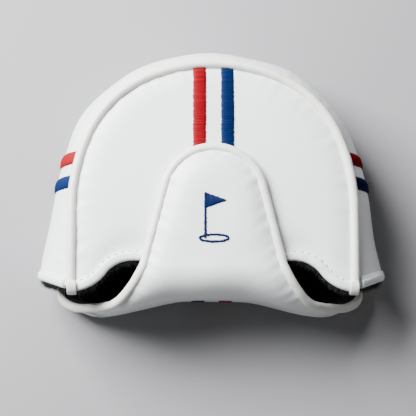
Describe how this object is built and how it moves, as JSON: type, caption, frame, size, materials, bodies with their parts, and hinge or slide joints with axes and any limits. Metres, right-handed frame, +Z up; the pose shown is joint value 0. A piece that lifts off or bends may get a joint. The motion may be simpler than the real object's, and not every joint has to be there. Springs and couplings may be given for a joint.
{
  "type": "putter head cover",
  "caption": "Padded slip-on cover for a mallet putter head, with a piped crown and a magnetic flap that rolls up over the mouth.",
  "frame": {"origin": "on the plane that the sole rests on, under the middle of the whole cover", "axes": "+X to the right seen from above with the mouth nearest, +Y from the mouth to the rear arch, +Z up out of the crown"},
  "size_m": [0.1498, 0.1111, 0.0506],
  "materials": {
    "white_leather": "smooth semi-gloss coated leather, fine grain",
    "piping_leather": "smooth semi-gloss coated leather, warm white",
    "black_plush": "short deep pile",
    "foam": "open-cell foam",
    "cotton_cord": "twisted cotton",
    "red_thread": "glossy embroidery thread",
    "blue_thread": "glossy embroidery thread",
    "magnet_steel": "nickel-plated"
  },
  "bodies": {
    "pouch": {"crown_binding": "white_leather", "crown_foam": "foam", "crown_lining": "black_plush", "crown_magnets": "magnet_steel", "crown_panel": "white_leather", "crown_piping": "piping_leather", "crown_piping_cord": "cotton_cord", "crown_stripe_blue": "blue_thread", "crown_stripe_red": "red_thread", "gusset_binding_left": "white_leather", "gusset_binding_right": "white_leather", "gusset_foam": "foam", "gusset_lining": "black_plush", "gusset_panel": "white_leather", "gusset_stripe_blue_left": "blue_thread", "gusset_stripe_blue_right": "blue_thread", "gusset_stripe_red_left": "red_thread", "gusset_stripe_red_right": "red_thread", "piping_tab_left": "piping_leather", "piping_tab_right": "piping_leather", "sole_foam": "foam", "sole_lining": "black_plush", "sole_panel": "white_leather", "sole_piping": "piping_leather", "sole_piping_cord": "cotton_cord", "sole_stripe_blue": "blue_thread", "sole_stripe_red": "red_thread"},
    "face_wrap": {"wrap_foam": "foam", "wrap_lining": "black_plush", "wrap_panel": "white_leather", "wrap_piping": "piping_leather", "wrap_piping_cord": "cotton_cord", "wrap_stripe_blue": "blue_thread", "wrap_stripe_red": "red_thread"},
    "tongue": {"tongue_emblem": "blue_thread", "tongue_foam": "foam", "tongue_lining": "black_plush", "tongue_magnets": "magnet_steel", "tongue_panel": "white_leather", "tongue_piping": "piping_leather", "tongue_piping_cord": "cotton_cord"}
  },
  "joints": [
    {"name": "flap_base_fold", "type": "hinge", "parent": "pouch", "child": "face_wrap", "pos_m": [0, -0.05052, 0.00498], "axis": [1, 0, 0], "range_deg": [0, 90]},
    {"name": "tongue_fold", "type": "hinge", "parent": "face_wrap", "child": "tongue", "pos_m": [0, -0.05052, 0.04522], "axis": [1, 0, 0], "range_deg": [0, 90]}
  ]
}
